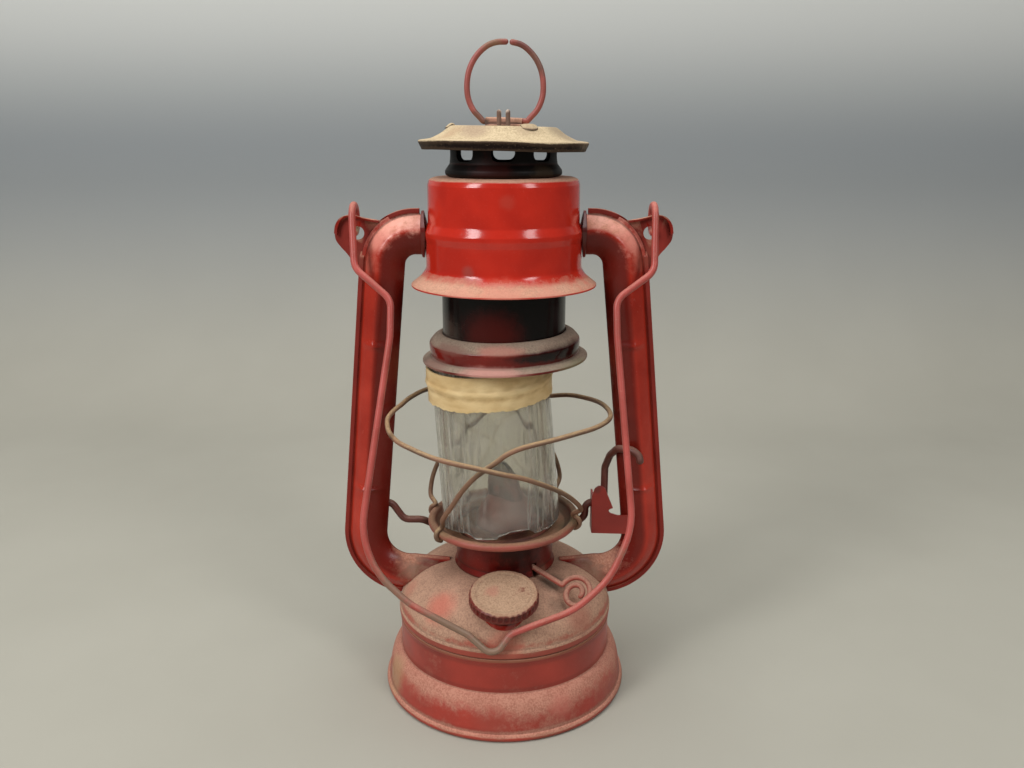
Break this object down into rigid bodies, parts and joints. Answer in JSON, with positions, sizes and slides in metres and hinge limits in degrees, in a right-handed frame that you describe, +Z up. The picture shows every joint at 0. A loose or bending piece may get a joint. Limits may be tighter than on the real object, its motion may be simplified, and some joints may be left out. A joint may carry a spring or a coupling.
{
  "type": "barn lantern",
  "caption": "Tubular barn lantern with a domed fuel fount, side air tubes, a lifting glass globe in a wire guard, a sliding chimney hood and a hanging wire bail.",
  "frame": {"origin": "centre of the base, on the surface that the lantern stands on", "axes": "+Z up, the filler cap faces -Y, the side tubes lie along X with the catch plate on +X"},
  "size_m": [0.1772, 0.1356, 0.3452],
  "materials": {
    "red_enamel": "aged red baking enamel, scuffed and dusty",
    "bright_red_enamel": "glossy red baking enamel",
    "sooty_steel": "black enamel with soot and rust",
    "tin_plate": "dull tin-plated steel",
    "rusty_wire": "bare steel wire with brown rust",
    "brass": "dull brass",
    "clouded_glass": "clear pressed glass, slightly clouded",
    "paper_band": "yellowed paper tape",
    "cotton_wick": "woven flat cotton",
    "cork_gasket": "matte cork and rubber"
  },
  "bodies": {
    "frame": {"fount_side": "red_enamel", "fount_top": "red_enamel", "fount_bottom": "red_enamel", "filler_neck": "red_enamel", "burner_collar": "red_enamel", "burner_seat": "brass", "burner_deck": "brass", "wick_tube": "brass", "right_tube_front": "red_enamel", "right_tube_back": "red_enamel", "left_tube_front": "red_enamel", "left_tube_back": "red_enamel", "right_tube_collar": "red_enamel", "left_tube_collar": "red_enamel", "canopy": "bright_red_enamel", "catch_plate": "red_enamel"},
    "seal": {"filler_gasket": "cork_gasket"},
    "cap": {"filler_cap": "red_enamel"},
    "spindle": {"wick_spindle": "red_enamel", "wick_wheel_1": "brass", "wick_wheel_2": "brass"},
    "wick": {"wick": "cotton_wick"},
    "lever": {"lift_lever": "red_enamel"},
    "globe_carriage": {"globe_plate": "red_enamel", "burner_cone": "tin_plate", "left_guard_wire": "rusty_wire", "right_guard_wire": "rusty_wire", "globe_glass": "clouded_glass", "glass_tape": "paper_band"},
    "hood": {"crown": "sooty_steel", "crown_seat": "sooty_steel", "chimney": "sooty_steel", "vent_ring": "sooty_steel", "smoke_cap": "sooty_steel", "ring_bridge": "sooty_steel", "stop_wire": "rusty_wire"},
    "lift_ring": {"lift_ring": "red_enamel"},
    "bail": {"bail": "red_enamel"}
  },
  "joints": [
    {"name": "cap_rise", "type": "slide", "parent": "frame", "child": "seal", "axis": [0, -0.2284, 0.9736], "range_m": [0, 0.0075]},
    {"name": "cap_turn", "type": "hinge", "parent": "seal", "child": "cap", "pos_m": [0, -0.0443, 0.06644], "axis": [0, -0.2284, 0.9736], "range_deg": [0, 900]},
    {"name": "spindle_turn", "type": "hinge", "parent": "frame", "child": "spindle", "pos_m": [-0.00321, -0.00357, 0.0796], "axis": [0.733, -0.66, -0.165], "range_deg": [-180, 82]},
    {"name": "wick_rise", "type": "slide", "parent": "frame", "child": "wick", "axis": [0, 0, 1], "range_m": [-0.0106, 0.00485]},
    {"name": "lever_turn", "type": "hinge", "parent": "frame", "child": "lever", "pos_m": [0, 0.003, 0.1033], "axis": [1, 0, 0], "range_deg": [0, 22.4]},
    {"name": "globe_lift", "type": "slide", "parent": "frame", "child": "globe_carriage", "axis": [0, 0, 1], "range_m": [0, 0.0119]},
    {"name": "hood_lift", "type": "slide", "parent": "globe_carriage", "child": "hood", "axis": [0, 0, 1], "range_m": [0, 0.012]},
    {"name": "ring_swing", "type": "hinge", "parent": "hood", "child": "lift_ring", "pos_m": [0, 0.004, 0.3069], "axis": [1, 0, 0], "range_deg": [-75, 75]},
    {"name": "bail_swing", "type": "hinge", "parent": "frame", "child": "bail", "pos_m": [0, 0, 0.25915], "axis": [-1, 0, 0], "range_deg": [0, 229]}
  ],
  "couplings": [
    {"joint": "cap_rise", "follows": "cap_turn", "m_per_rad": 0.000477},
    {"joint": "spindle_turn", "follows": "wick_rise", "rad_per_m": 294.12},
    {"joint": "lever_turn", "follows": "globe_lift", "rad_per_m": 32.787}
  ]
}
